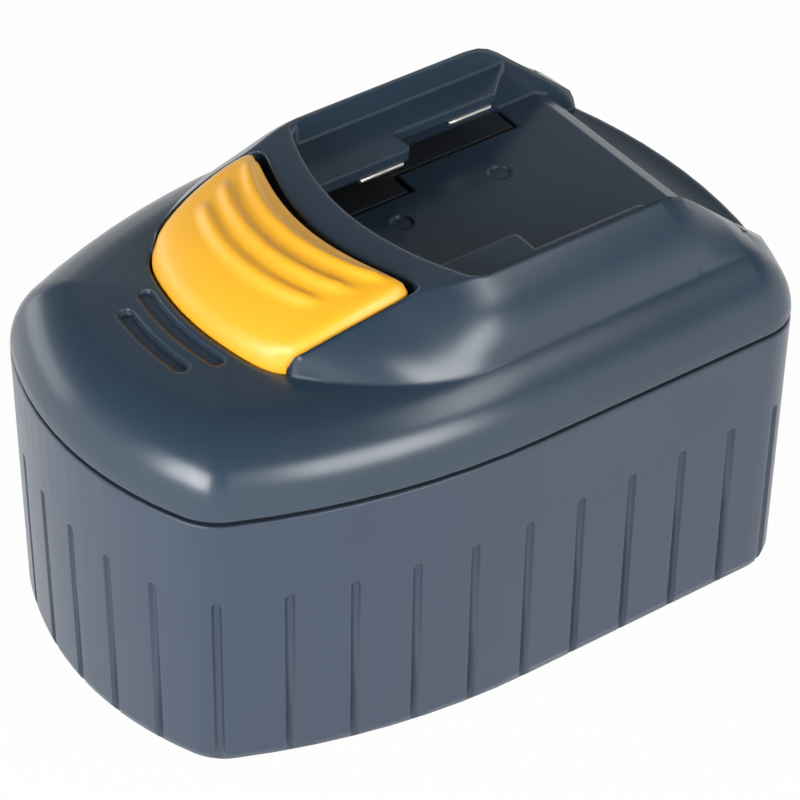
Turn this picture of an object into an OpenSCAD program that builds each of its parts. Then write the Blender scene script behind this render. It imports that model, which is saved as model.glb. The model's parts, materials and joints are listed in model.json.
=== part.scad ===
/* [Case] */
// Length from the bowed front to the bowed rear
case_l = 120; // [116:0.5:128]
// Width at the seam
case_w = 80.6; // [79:0.2:88]
// Height of the seam between tub and cover
seam_z = 50; // [49.5:0.5:54]
// Width of the shadow line at the seam
seam_gap = 0.7; // [0.4:0.1:1]
// Depth of the shadow line
seam_depth = 1.3; // [0.8:0.1:1.4]
// Wall thickness of the mouldings
wall = 2.4; // [2:0.1:2.6]
// Thickness of the tub floor
floor_t = 2.6; // [2:0.1:3]
// Draft of the tub walls in degrees
draft = 0.9; // [0.4:0.1:1.1]
// Rounding of the foot edge
foot_r = 3; // [1.5:0.1:4]

/* [Plan curves] */
// Radius of the bowed front
front_r = 59; // [56:0.5:63]
// Radius of the flanks ahead of the middle
flank_r = 120; // [114:1:130]
// Radius of the bowed rear
rear_r = 91; // [86:1:98]
// Radius of the front corners
front_corner_r = 10.5; // [9.5:0.1:12]
// Radius of the rear corners
rear_corner_r = 9.2; // [9:0.1:10]

/* [Grooves] */
// Height of the top of the upright grooves
groove_top = 33.6; // [20:0.2:44]
// Radius of a groove
groove_r = 0.8; // [0.6:0.05:1.3]
// Depth of a groove
groove_depth = 0.7; // [0.4:0.05:0.8]
// Spacing of the grooves along the flanks
flank_pitch = 9.96; // [9:0.02:11]
// Spacing of the grooves on the front and rear
end_pitch = 9.3; // [8.5:0.1:10]
// Place of the foremost flank groove along Y
flank_first = -41.3; // [-43:0.1:-40]

/* [Cover] */
// Radius of the cover shoulders
shoulder_r = 12; // [11:0.1:13]
// Width of the shoulder in plan
shoulder_in = 8.8; // [8:0.1:9]
// Rise of the crown from the shoulder to the middle
crown_rise = 2.2; // [1:0.1:4]
// Height of the top above the seam
top_h = 22.2; // [21:0.1:25]
// Half width of the raised block
block_half = 33; // [32:0.1:34.5]
// Bulge of the raised block's sides, as half the angle of their arc
block_bulge = 20; // [12:1:26]
// Bulge of the cheeks beside the button
cheek_bulge = 11; // [6:1:20]
// Plan radius of the front of the raised block
nose_r = 38; // [35:0.5:42]
// Fall of the top from the bridge down to the front of the button
nose_fall = 9; // [7:0.1:10]
// Distance from the rear to the start of the slope of the walls
slope_set = 26.5; // [24:0.5:30]
// Rear slope, rise over run
slope = 0.875; // [0.6:0.005:1.1]

/* [Socket] */
// Width of the tool socket
socket_w = 50; // [46:0.2:52]
// Height of the socket floor above the seam
socket_floor_h = 8.4; // [7.8:0.1:10]
// Thickness of the socket floor
socket_floor_t = 2.2; // [1.8:0.1:2.6]
// Radius of the bowed front of the socket
socket_front_r = 52; // [46:0.5:60]
// Length of the bridge between button and socket
bridge_l = 7.3; // [6.4:0.1:8]
// Distance from the rear to the rear edge of the socket floor
socket_set = 12.6; // [11.6:0.2:15]
// Height of the rail tops above the seam
rail_h = 17.15; // [16:0.05:18.5]
// Thickness of the rails
rail_t = 2.15; // [1.6:0.05:2.6]
// Half distance between the wide front rails
rail_near = 13.8; // [13:0.1:16]
// Half distance between the narrow rear rails
rail_far = 18.8; // [17.5:0.1:20.5]
// Length of the wide rails
rail_long = 22.3; // [20:0.1:24]
// Distance from the rear edge of the floor to the narrow rails
rail_back = 12.9; // [10:0.1:14]
// Distance from the rear edge of the floor to its windows
window_back = 7.4; // [5.6:0.1:9]
// Height of the rear apron above the seam
apron_h = 2; // [1:0.1:3]

/* [Button] */
// Plan radius of the front edge of the button
button_r = 44; // [42:0.2:46]
// Distance from the front to the button
button_set = 23.2; // [22:0.1:24]
// Half width of the button at its rear
button_half = 21.7; // [20:0.1:22.6]
// Narrowing of the button from rear to front
button_flare = 4; // [2:0.1:5.5]
// Plan radius of the rear edge of the button
button_rear_r = 45; // [42:0.2:50]
// Length of the button on the middle line
button_len = 21.4; // [20.4:0.1:22.4]
// Rounding of the button's upper edge
button_edge = 1.8; // [0.8:0.1:2]
// Power of the curve that rounds the button's rear corners
rear_power = 7; // [5:0.5:10]
// Power of the curve that rounds the button's front corners
front_power = 12; // [8:0.5:20]
// Gap round the button
button_gap = 0.45; // [0.35:0.05:0.8]
// Gap behind the button for its swing
swing_gap = 1.5; // [1.4:0.1:2]
// Shell thickness of the button
button_t = 2; // [1.6:0.1:2.6]
// Half width of the finger ribs at their foot
rib_half = 1.8; // [1.4:0.1:2.2]
// Height of the finger ribs over the button
rib_h = 0.9; // [0.4:0.05:1.1]
// Plan radius of the finger ribs
rib_plan_r = 35; // [32:1:60]
// Swing of the button in degrees
button_swing = 7; // [5:0.5:8]

/* [Hinge and springs] */
// Hinge pin diameter
pin_d = 3; // [2.5:0.1:3.4]
// Running clearance of the button on the pin, in radius
pin_play = 0.05; // [0.02:0.01:0.1]
// Distance from the button's front edge to the hinge axis
hinge_set = 6.8; // [6.4:0.1:7.2]
// Hinge axis above the seam
hinge_h = 11; // [10.6:0.1:11.4]
// Spring wire diameter
wire_d = 0.9; // [0.7:0.05:1.1]
// Spring mean diameter
coil_d = 5.6; // [5:0.1:6.5]
// Active turns of a spring
coil_turns = 6; // [4:1:7]

/* [Cells] */
// Gap between cells
cell_gap = 0.1; // [0.05:0.05:0.2]
// Room between the outer cells and the side walls
cell_side_room = 4.45; // [4:0.05:6]
// Room between the rear cells and the rear wall
cell_end_room = 5.5; // [5:0.1:7]
// Room between the front cells and the front wall
cell_front_room = 20.5; // [20:0.1:24]
// Room over the card below the seam
cell_head_room = 2.2; // [1.8:0.1:4]
// Thickness of the nickel links
link_t = 0.3; // [0.15:0.05:0.3]
// Width of the nickel links
link_w = 8; // [6:0.5:9]
// Thickness of the foam pad under the cells
pad_t = 1; // [0.6:0.1:1.2]
// Thickness of the insulator card over the cells
card_t = 0.8; // [0.5:0.1:0.9]

/* [Contacts and screws] */
// Gap round the terminal blocks in the floor windows
terminal_gap = 0.9; // [0.6:0.1:1.4]
// Thickness of the contact blades
blade_t = 0.8; // [0.6:0.05:1]
// Width of the contact blades along Y
blade_w = 8.6; // [7:0.1:9]
// Distance of the blades' rear edges from the ends of the rails
blade_set = 1.5; // [0.6:0.1:2.4]
// Screw shank diameter
screw_d = 3; // [2.6:0.1:3.2]
// Screw head diameter
head_d = 5.6; // [5:0.1:5.8]
// Screw head height
head_h = 2.2; // [1.6:0.1:2.6]
// Height of the case screw heads
head_seat = 36; // [30:0.5:38]

/* [Hidden] */
$fn = 64;
eps = 0.01;
far = 200;
case_color = "#36454f";
cover_color = "#2f3d48";
amber = "#ffb52c";
steel = "#c9ccd0";
nickel = "#d9d6cc";
half_w = case_w / 2;
half_l = case_l / 2;
tub_top = seam_z - seam_gap / 2;
lid_edge = seam_z + seam_gap / 2;
lid_top = seam_z + top_h;
shoulder_z = seam_z + 0.4;
socket_floor = seam_z + socket_floor_h;
tray_low = socket_floor - socket_floor_t;
rail_top = seam_z + rail_h;
rail_low = rail_top - rail_t;
hinge_z = seam_z + hinge_h;
button_front = button_set - half_l;
button_rear = button_front + button_len;
hinge_y = button_front + hinge_set;
socket_front = button_rear + bridge_l;
socket_rear = half_l - socket_set;
slope_y = half_l - slope_set;
rail_step_y = socket_front + rail_long;
rail_end_y = socket_rear - rail_back;
window_end_y = socket_rear - window_back;
blade_front_y = rail_step_y - blade_w - blade_set;
blade_rear_y = rail_end_y - blade_w - blade_set / 2;

// Plan outline: bowed front, front corner, curved flank, straight flank, rear corner, bowed rear
long_step = 3.2;
corner_step = 6;
front_c = [0, front_r - half_l];
flank_c = [half_w - flank_r, 0];
rear_c = [0, half_l - rear_r];
near_a = front_r - front_corner_r;
near_b = flank_r - front_corner_r;
gap_c = norm(flank_c - front_c);
dir_c = (flank_c - front_c) / gap_c;
along_c = (near_a * near_a - near_b * near_b + gap_c * gap_c) / (2 * gap_c);
off_c = sqrt(near_a * near_a - along_c * along_c);
front_corner_c = front_c + dir_c * along_c + off_c * [-dir_c.y, dir_c.x];
rear_in = half_w - rear_corner_r;
rear_corner_c = [rear_in, rear_c.y + sqrt(pow(rear_r - rear_corner_r, 2) - rear_in * rear_in)];
a_front = atan2(front_corner_c.y - front_c.y, front_corner_c.x - front_c.x);
a_flank = atan2(front_corner_c.y - flank_c.y, front_corner_c.x - flank_c.x);
a_rear = atan2(rear_corner_c.y - rear_c.y, rear_corner_c.x - rear_c.x);

function arc_run(c, r, a0, a1, step) =
    let (n = ceil(abs(a1 - a0) / step))
    [for (i = [0 : n - 1]) let (a = a0 + (a1 - a0) * i / n) [c.x + r * cos(a), c.y + r * sin(a), cos(a), sin(a)]];

half_run = concat(
    arc_run(front_c, front_r, -90, a_front, long_step),
    arc_run(front_corner_c, front_corner_r, a_front, a_flank, corner_step),
    arc_run(flank_c, flank_r, a_flank, 0, long_step),
    [[half_w, 0, 1, 0]],
    arc_run(rear_corner_c, rear_corner_r, 0, a_rear, corner_step),
    arc_run(rear_c, rear_r, a_rear, 90, long_step),
    [[0, half_l, 0, 1]]);
left_run = [for (i = [len(half_run) - 2 : -1 : 1]) let (p = half_run[i]) [-p[0], p[1], -p[2], p[3]]];
plan = concat(half_run, left_run);

function inset_2d(d) = [for (p = plan) [p[0] - d * p[2], p[1] - d * p[3]]];
function ring(d, z) = [for (p = inset_2d(d)) [p.x, p.y, z]];

// Skin through a list of rings with equal point counts, closed at both ends
module loft(rings) {
    n = len(rings[0]);
    m = len(rings);
    points = [for (r = rings) each r];
    sides = [for (k = [0 : m - 2]) for (i = [0 : n - 1]) let (j = (i + 1) % n)
        [k * n + i, (k + 1) * n + i, (k + 1) * n + j, k * n + j]];
    low = [for (i = [0 : n - 1]) i];
    high = [for (i = [n - 1 : -1 : 0]) (m - 1) * n + i];
    polyhedron(points = points, faces = concat(sides, [low], [high]), convexity = 8);
}

module mirrored() {
    children();
    mirror([1, 0, 0]) children();
}

// Box between two corners
module span(a, b) {
    translate(a) cube(b - a);
}

// Profile drawn in Y and Z, given a thickness along X
module across(x0, x1) {
    translate([x0, 0, 0]) rotate([90, 0, 90]) linear_extrude(height = x1 - x0) children();
}

// Cell places: three columns of four
pitch_w = (case_w - 2 * wall - 2 * cell_side_room) / 3;
pitch_l = (case_l - 2 * wall - cell_end_room - cell_front_room) / 4;
cell_pitch = min(pitch_w, pitch_l);
cell_d = cell_pitch - cell_gap;
cell_h = tub_top - floor_t - pad_t - 2 * link_t - card_t - cell_head_room;
cell_rear = half_l - wall - cell_end_room - cell_d / 2;
cell_cols = [-1, 0, 1];
cell_rows = [0, 1, 2, 3];
cell_low = floor_t + pad_t + link_t;
cell_top = cell_low + cell_h;
card_low = cell_top + link_t;
card_top = card_low + card_t;
function cell_at(c, r) = [cell_cols[c] * cell_pitch, cell_rear - r * cell_pitch];
cell_list = [for (r = cell_rows) for (c = [0 : 2]) [c, r]];
void_x = cell_pitch / 2;
void_y = cell_rear - cell_pitch / 2;

// Screw places
boss_d = 8.4;
head_bore_d = head_d + 0.7;
shank_bore_d = screw_d + 0.4;
pilot_d = screw_d;
front_boss = [18, front_corner_c.y - 0.4];
case_screw_at = [[void_x, void_y], [-void_x, void_y], front_boss, [-front_boss.x, front_boss.y]];
frame_front = [9, button_front - 4.7];
frame_rear = [26.5, button_rear + 0.5];
frame_screw_at = [frame_front, [-frame_front.x, frame_front.y], frame_rear, [-frame_rear.x, frame_rear.y]];
frame_low = seam_z + 1.2;
frame_t = 2;
frame_top = frame_low + frame_t;
frame_boss_d = 6.6;

// Tub
function drawn_in(z) = (tub_top - z) * tan(draft);
foot_steps = [0, 30, 60, 90];
seam_round = 0.4;
seam_edge = [[seam_round, 0], [seam_round * 0.29, seam_round * 0.29], [0, seam_round]];

tub_rings = concat(
    [for (a = foot_steps) ring(drawn_in(foot_r) + foot_r * (1 - sin(a)), foot_r * (1 - cos(a)))],
    [for (e = seam_edge) ring(e[1], tub_top - e[0])],
    [ring(wall, tub_top)],
    [ring(wall + drawn_in(floor_t), floor_t)]);

groove_end_x = [0, end_pitch, 2 * end_pitch];
groove_flank_y = [for (i = [0 : 8]) flank_first + i * flank_pitch];
groove_rear_a = 0.3 * a_rear;
groove_corner_a = (a_front + 2 * a_flank) / 3;
function on_arc(c, r, a) = [c.x + r * cos(a), c.y + r * sin(a), a];
function on_flank(y) = y < 0 ? on_arc(flank_c, flank_r, asin(y / flank_r)) : [half_w, y, 0];
groove_places = concat(
    [for (x = groove_end_x) on_arc(front_c, front_r, asin(x / front_r) - 90)],
    [on_arc(front_corner_c, front_corner_r, groove_corner_a)],
    [for (y = groove_flank_y) on_flank(y)],
    [on_arc(rear_corner_c, rear_corner_r, groove_rear_a)],
    [for (x = groove_end_x) on_arc(rear_c, rear_r, 90 - asin(x / rear_r))]);

// One groove cutter: a round bar with a domed top that leans with the draft
module groove(p) {
    dome = [for (i = [0 : 3]) [groove_r * cos(30 * i), groove_top + groove_r * sin(30 * i)]];
    outline = concat([[0, -foot_r], [groove_r, -foot_r]], dome);
    off = groove_r - groove_depth - drawn_in(0);
    translate([p[0], p[1], 0])
        rotate([0, 0, p[2]])
        translate([off, 0, 0])
        rotate([0, draft, 0])
        rotate_extrude($fn = 24) polygon(outline);
}

module lower_case() {
    color(case_color) difference() {
        union() {
            loft(tub_rings);
            for (p = case_screw_at)
                translate([p.x, p.y, floor_t / 2]) cylinder(d = boss_d, h = tub_top - floor_t / 2);
        }
        for (p = groove_places) {
            groove(p);
            if (p[0] > eps) mirror([1, 0, 0]) groove(p);
        }
        for (p = case_screw_at) {
            translate([p.x, p.y, -1]) cylinder(d = head_bore_d, h = head_seat + 1);
            translate([p.x, p.y, -1]) cylinder(d = shank_bore_d, h = far);
        }
    }
}

// Cover shell: inside from the roof down, the stepped edge, then up the shoulder and over the crown
shoulder_n = 8;
skin_n = 4;
skin_r = shoulder_r - wall;
a_out = acos(1 - shoulder_in / shoulder_r);
a_in = acos((shoulder_r - shoulder_in) / skin_r);
roof_low = shoulder_z + skin_r * sin(a_in);
crown_z = shoulder_z + shoulder_r * sin(a_out);
spine_front = button_front + 6.8;
spine_rear = slope_y + 1.5;
crown_soft = 0.36;
crown_reach = 0.12;
crown_steps = [0.03, 0.065, crown_reach, 0.4, 0.7];
function crown_lift(f) = crown_rise * f + crown_soft * (1 - pow(1 - min(f / crown_reach, 1), 2));
function crown_ring(f) = [for (q = inset_2d(shoulder_in)) let (t = [0, max(spine_front, min(spine_rear, q.y))])
    [q.x + (t.x - q.x) * f, q.y + (t.y - q.y) * f, crown_z + crown_lift(f)]];
lid_rings = concat(
    [for (i = [skin_n : -1 : 1]) let (a = a_in * i / skin_n)
        ring(shoulder_r - skin_r * cos(a), shoulder_z + skin_r * sin(a))],
    [ring(wall, tub_top)],
    [ring(seam_depth, tub_top)],
    [ring(seam_depth, lid_edge)],
    [for (i = [2 : -1 : 0]) ring(seam_edge[i][1], lid_edge + seam_edge[i][0])],
    [for (i = [1 : shoulder_n]) let (a = a_out * i / shoulder_n)
        ring(shoulder_r * (1 - cos(a)), shoulder_z + shoulder_r * sin(a))],
    [for (f = crown_steps) crown_ring(f)]);

// Raised block: sections along Y with arched sides, narrow and low at the nose, sloping down at the rear
nose_y = socket_front + 6.1;
nose_cx = block_half - nose_r;
nose_front = button_front + 2.6;
nose_n = 16;
fall_e = 1.6;
fall_len = 29.2;
fall_y = nose_front + fall_len;
slope_blend = 6;
slope_end = half_l - 7;
tail_y = slope_end - 5;
tail_sink = 1;
tail_n = 8;
block_skirt = 1.6;
crease_rise = 1.9;
least_cheek = 0.4;
least_fall = 0.5;
block_n = 8;
rim_y = socket_front - 6;
rim_len = 14;
cheek_len = 14;
cheek_y = nose_y - 8;
function limit(v, low, high) = max(low, min(high, v));
function mix(a, b, t) = a + (b - a) * t;
function soft(t) = t * t * (3 - 2 * t);
function fall(t) = nose_fall * (1 - pow(1 - pow(t, fall_e), 1 / fall_e));
function rear_drop(u) = u < 0 ? 0 : u < slope_blend ? u * u * slope / (2 * slope_blend) : slope * (u - slope_blend / 2);
function sink(y) = tail_sink * pow(limit((y - tail_y) / (slope_end - tail_y), 0, 1), 2);
function block_top(y) = lid_top - fall(limit((fall_y - y) / fall_len, 0, 1)) - rear_drop(y - slope_y) - sink(y);
function block_w(y) = y < nose_y ? nose_cx + sqrt(nose_r * nose_r - pow(y - nose_y, 2)) : block_half;
function rim_x(y) = min(block_w(y) - least_cheek, mix(side_x(y) + button_gap, socket_half, soft(limit((y - rim_y) / rim_len, 0, 1))));
function shoulder_h(d) = shoulder_z + sqrt(pow(shoulder_r, 2) - pow(shoulder_r - limit(d, 0.3, shoulder_in), 2));
function crease_in(y) = rear_corner_r - norm([block_half - rear_corner_c.x, max(0, y - rear_corner_c.y)]);
function crease_z(y) = shoulder_h(crease_in(y)) + crease_rise * limit((nose_y - y) / (nose_y - nose_front), 0, 1) - sink(y);
function bulge(y) = mix(cheek_bulge, block_bulge, soft(limit((y - cheek_y) / cheek_len, 0, 1)));
function arch(p, q, most) =
    let (d = q - p, l = norm(d), steep = atan2(-d.y, d.x), b = max(2, min(most, steep - 5)), n = [-d.y, d.x] / l)
    concat(
        [for (i = [0 : block_n]) let (e = b * (2 * i / block_n - 1))
            p + d * (sin(e) / sin(b) + 1) / 2 + n * l * (cos(e) - cos(b)) / (2 * sin(b))],
        [q + block_skirt * [1 / tan(limit(steep + b, 65, 85)), -1]]);
function block_section(y) =
    let (x = rim_x(y), zt = block_top(y), w = block_w(y), zc = min(crease_z(y), zt - least_fall))
    let (side = arch([x, zt], [w, zc], bulge(y)), n = len(side))
    concat(
        [for (i = [n - 1 : -1 : 0]) [-side[i].x, y, side[i].y]],
        [for (q = side) [q.x, y, q.y]]);
block_stations = concat(
    [for (i = [0 : nose_n]) nose_front + (nose_y - nose_front) * pow(i / nose_n, 1.25)],
    [for (i = [1 : 4]) nose_y + 2 * i],
    [for (i = [0 : 3]) slope_y + i * slope_blend / 3],
    [for (i = [0 : tail_n]) rear_corner_c.y + i * (slope_end - rear_corner_c.y) / tail_n]);

// Button plan: a rounded patch between two arcs, grown by a gap for the opening
button_cy = button_front + button_r;
button_rear_cy = button_rear + button_rear_r;
side_y0 = button_rear + 4.5;
side_len = 24;
function side_x(y) = button_half - button_flare * pow(limit((side_y0 - y) / side_len, 0, 1.3), 2);
function front_y(x, gap) = button_cy - sqrt(pow(button_r + gap, 2) - x * x);
function rear_y(x, gap) = button_rear_cy - sqrt(pow(button_rear_r - gap, 2) - x * x);
row_bow = (1 / rib_plan_r - 1 / button_r) / 2;
function patch_y(x, t, gap, rear_gap) =
    mix(front_y(x, gap), rear_y(x, rear_gap), t) + row_bow * x * x * (1 - pow(2 * t - 1, 4));
function corner_sum(u, w, e) = pow(max(pow(abs(u), e) + pow(abs(w), e), pow(eps, e)), 1 / e);
function rounding(u, w) = max(abs(u), abs(w), eps) / corner_sum(u, w, w < 0 ? front_power : rear_power);
function patch_at(u, w, gap, rear_gap) =
    let (k = rounding(u, w), a = u * k, t = (w * k + 1) / 2)
    let (y0 = patch_y(a * button_half, t, gap, rear_gap), y1 = patch_y(a * (side_x(y0) + gap), t, gap, rear_gap))
    let (x = a * (side_x(y1) + gap))
    [x, patch_y(x, t, gap, rear_gap)];
function crowded(n, e) = [for (i = [0 : n]) let (t = 2 * i / n - 1) sign(t) * (1 - pow(1 - abs(t), e))];
function patch_rim(us, ws, gap, rear_gap) = let (n = len(us) - 1, m = len(ws) - 1) concat(
    [for (i = [0 : n - 1]) patch_at(us[i], -1, gap, rear_gap)],
    [for (j = [0 : m - 1]) patch_at(1, ws[j], gap, rear_gap)],
    [for (i = [n : -1 : 1]) patch_at(us[i], 1, gap, rear_gap)],
    [for (j = [m : -1 : 1]) patch_at(-1, ws[j], gap, rear_gap)]);
opening_us = crowded(18, 1.4);
opening_ws = crowded(12, 1.4);

// Space taken by the tool foot: bowed front with rounded corners, open at the rear, stepped down to the apron
ramp_l = 2.4;
ramp_h = 1.1;
socket_half = socket_w / 2;
socket_cy = socket_front + socket_front_r;
socket_corner_r = 3;
bow_n = 12;
bow_c = [socket_half - socket_corner_r, socket_cy - sqrt(pow(socket_front_r - socket_corner_r, 2) - pow(socket_half - socket_corner_r, 2))];
bow_a = asin(bow_c.x / (socket_front_r - socket_corner_r));
socket_bow = concat(
    [for (i = [4 : -1 : 0]) let (b = 180 + (90 - bow_a) * (4 - i) / 4) [-bow_c.x, bow_c.y] + socket_corner_r * [cos(b), sin(b)]],
    [for (i = [1 : bow_n - 1]) let (b = -90 - bow_a + 2 * bow_a * i / bow_n) [0, socket_cy] + socket_front_r * [cos(b), sin(b)]],
    [for (i = [0 : 4]) let (b = bow_a - 90 + (90 - bow_a) * i / 4) bow_c + socket_corner_r * [cos(b), sin(b)]]);
apron_z = seam_z + apron_h;
apron_low = lid_edge + 0.3;
drop_y = socket_rear + ramp_l;
module socket_space() {
    intersection() {
        linear_extrude(height = far) polygon(concat(socket_bow, [[socket_half, far / 2], [-socket_half, far / 2]]));
        across(-socket_w, socket_w) polygon([
            [socket_front - 2, socket_floor], [socket_rear, socket_floor], [drop_y, socket_floor - ramp_h],
            [drop_y, apron_z], [half_l + 2, apron_z], [half_l + 2, far], [socket_front - 2, far]]);
    }
}

rail_round = 0.9;

// One rail in plan: wide at the front, narrow behind, with a slanted lead-in
module rail_plan() {
    root = socket_half + 0.6;
    step_c = [rail_near + rail_round, rail_step_y - rail_round];
    end_c = [rail_far + rail_round, rail_end_y - rail_round / 2];
    polygon(concat(
        [[root, socket_front - 1], [rail_near, socket_front - 1]],
        [for (a = [180 : -30 : 90]) step_c + rail_round * [cos(a), sin(a)]],
        [[rail_far, rail_step_y]],
        [for (a = [180 : -15 : 135]) end_c + rail_round * [cos(a), sin(a)]],
        [[root, rail_end_y + root - rail_far]]));
}

// One floor window under a rail
window_front_y = socket_front + 7.6;
window_step_y = rail_step_y + 1;
module window_plan(gap) {
    polygon([[socket_half, window_front_y + gap], [rail_near + gap, window_front_y + gap], [rail_near + gap, window_step_y - gap],
        [rail_far + gap, window_step_y - gap], [rail_far + gap, window_end_y - gap], [socket_half, window_end_y - gap]]);
}

// Curved round-ended groove on the crown in front of the button
mark_r = 1.3;
mark_n = 10;
function slot_points(r, half_len) =
    let (a = asin(half_len / r))
    concat(
        [for (i = [0 : mark_n]) let (b = -90 - a + 2 * a * i / mark_n) (r + mark_r) * [cos(b), sin(b)]],
        [for (i = [1 : 5]) let (b = a - 90, e = b + 30 * i) r * [cos(b), sin(b)] + mark_r * [cos(e), sin(e)]],
        [for (i = [mark_n : -1 : 0]) let (b = -90 - a + 2 * a * i / mark_n) (r - mark_r) * [cos(b), sin(b)]],
        [for (i = [1 : 5]) let (b = -90 - a, e = b + 180 + 30 * i) r * [cos(b), sin(b)] + mark_r * [cos(e), sin(e)]]);
module crown_mark(r, half_len, z) {
    translate([0, button_cy, z]) linear_extrude(height = nose_fall) polygon(slot_points(r, half_len));
}

latch_half = 6;
latch_gap = 1;
latch_front = socket_front + 5.1;
latch_rear = latch_front + 4.8;
tray_wall = socket_half + wall;
hollow_in = tray_wall;
hollow_out = block_half - wall;
hollow_top = crown_z + 0.4;
hollow_front = window_front_y + 2.5;
tray_top = roof_low + 1.6;
core_in = wall / 2;
core_n = 3;
core_rings = concat(
    [ring(core_in, apron_low)],
    [for (i = [1 : core_n]) let (a = a_out * i / core_n)
        ring(core_in + (shoulder_r - core_in) * (1 - cos(a)), shoulder_z + (shoulder_r - core_in) * sin(a))]);
cut_y = tail_y + 1;
cut_lift = 0.05;
function slope_z(y) = lid_top - rear_drop(y - slope_y) + cut_lift;
blade_room = 0.15;
leg_x = hollow_in + 1.2;
eject_d = 3.6;
eject_depth = 0.4;
eject_at = [[-8.1, socket_front + 16.5], [-10.2, rail_end_y - 5.2]];

module upper_cover() {
    color(cover_color) {
        difference() {
            union() {
                loft(lid_rings);
                loft([for (y = block_stations) block_section(y)]);
                span([-tray_wall, socket_front - 4.4, tray_low], [tray_wall, drop_y, tray_top]);
                span([-tray_wall, drop_y - wall, apron_low], [tray_wall, drop_y, socket_floor - ramp_h / 2]);
                translate([0, 0, apron_low]) linear_extrude(height = apron_z - apron_low) intersection() {
                    polygon(inset_2d(wall / 2));
                    translate([-tray_wall, drop_y - wall / 2]) square([2 * tray_wall, far]);
                }
                intersection() {
                    loft(core_rings);
                    mirrored() span([socket_half - 1, drop_y - wall, apron_low + eps], [tray_wall, half_l, lid_top]);
                }
                for (p = case_screw_at)
                    translate([p.x, p.y, tub_top]) cylinder(d = boss_d, h = (p.y > 0 ? tray_low : roof_low) - tub_top + 1);
                for (p = frame_screw_at)
                    translate([p.x, p.y, frame_top]) cylinder(d = frame_boss_d, h = roof_low - frame_top + 1);
            }
            socket_space();
            translate([0, 0, seam_z - 2]) linear_extrude(height = far)
                polygon(patch_rim(opening_us, opening_ws, button_gap, swing_gap));
            mirrored() {
                translate([0, 0, tray_low - 1]) linear_extrude(height = socket_floor_t + 1.5) window_plan(0);
                span([hollow_in, hollow_front, tub_top - 1], [hollow_out, slope_y + 6, hollow_top]);
                for (y = [blade_front_y, blade_rear_y])
                    span([socket_half - 1, y - blade_room, rail_low - blade_t - blade_room],
                        [leg_x + blade_room, y + blade_w + blade_room, rail_low]);
                for (y = [blade_front_y, blade_rear_y])
                    span([leg_x - blade_t - blade_room, y - blade_room, tub_top], [leg_x + blade_room, y + blade_w + blade_room, rail_low]);
                across(socket_half - 2, half_w + 1) polygon([
                    [cut_y, slope_z(cut_y)], [half_l + 1, slope_z(half_l + 1)], [half_l + 1, far], [cut_y, far]]);
            }
            span([-latch_half - latch_gap, latch_front - 1.6, tray_low - 1], [latch_half + latch_gap, latch_rear + 0.7, socket_floor + 1]);
            crown_mark(button_r + 2.9, 9.9, crown_z + 0.7);
            crown_mark(button_r + 7.4, 7.75, crown_z + 0.1);
            for (p = eject_at)
                translate([p.x, p.y, socket_floor - eject_depth]) cylinder(d = eject_d, h = 1);
            for (p = case_screw_at)
                translate([p.x, p.y, tub_top - 1]) cylinder(d = pilot_d, h = 7);
            for (p = frame_screw_at)
                translate([p.x, p.y, frame_top - 1]) cylinder(d = pilot_d, h = 7.4);
        }
        mirrored() translate([0, 0, rail_low]) linear_extrude(height = rail_t) rail_plan();
    }
}

// Button: a domed patch with a rounded edge and three soft finger ribs, then ears, spring seats and the latch arm
dome_r0 = button_r - 17.3;
dome_len = 17.5;
dome_fall = 9.2;
dome_e = 1.5;
dome_proud = 1;
shell_in = 1.6;
patch_us = crowded(30, 1.35);
patch_ws = crowded(44, 1.2);
rib_places = [[button_rear - 4, 18.8], [button_rear - 8.4, 17.2], [button_rear - 12.5, 15.5]];
dome_top = lid_top + dome_proud;
under_top = dome_top - button_t / 2;
function dome_z(r) = dome_top - dome_fall * (1 - pow(1 - pow(limit((r - dome_r0) / dome_len, 0, 1), dome_e), 1 / dome_e));
function dome_at(p, out) = dome_z(norm([p.x, button_cy - p.y]) + out);
function near(v, size) = max(0, button_edge - (1 - abs(v)) * size);
function edge_drop(u, w) = let (r = min(norm([near(u, button_half), near(w, button_len / 2)]), button_edge))
    button_edge - sqrt(pow(button_edge, 2) - r * r);
function rib_y(x, y0) = y0 + rib_plan_r - sqrt(pow(rib_plan_r, 2) - x * x);
function rib_off(p, y0, half_len) = norm([max(0, abs(p.x) - half_len + rib_half), p.y - rib_y(p.x, y0)]);
function rib_rise(p) = max([for (r = rib_places) let (d = rib_off(p, r[0], r[1]))
    d < rib_half ? rib_h * pow(cos(90 * d / rib_half), 2) : 0]);

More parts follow.
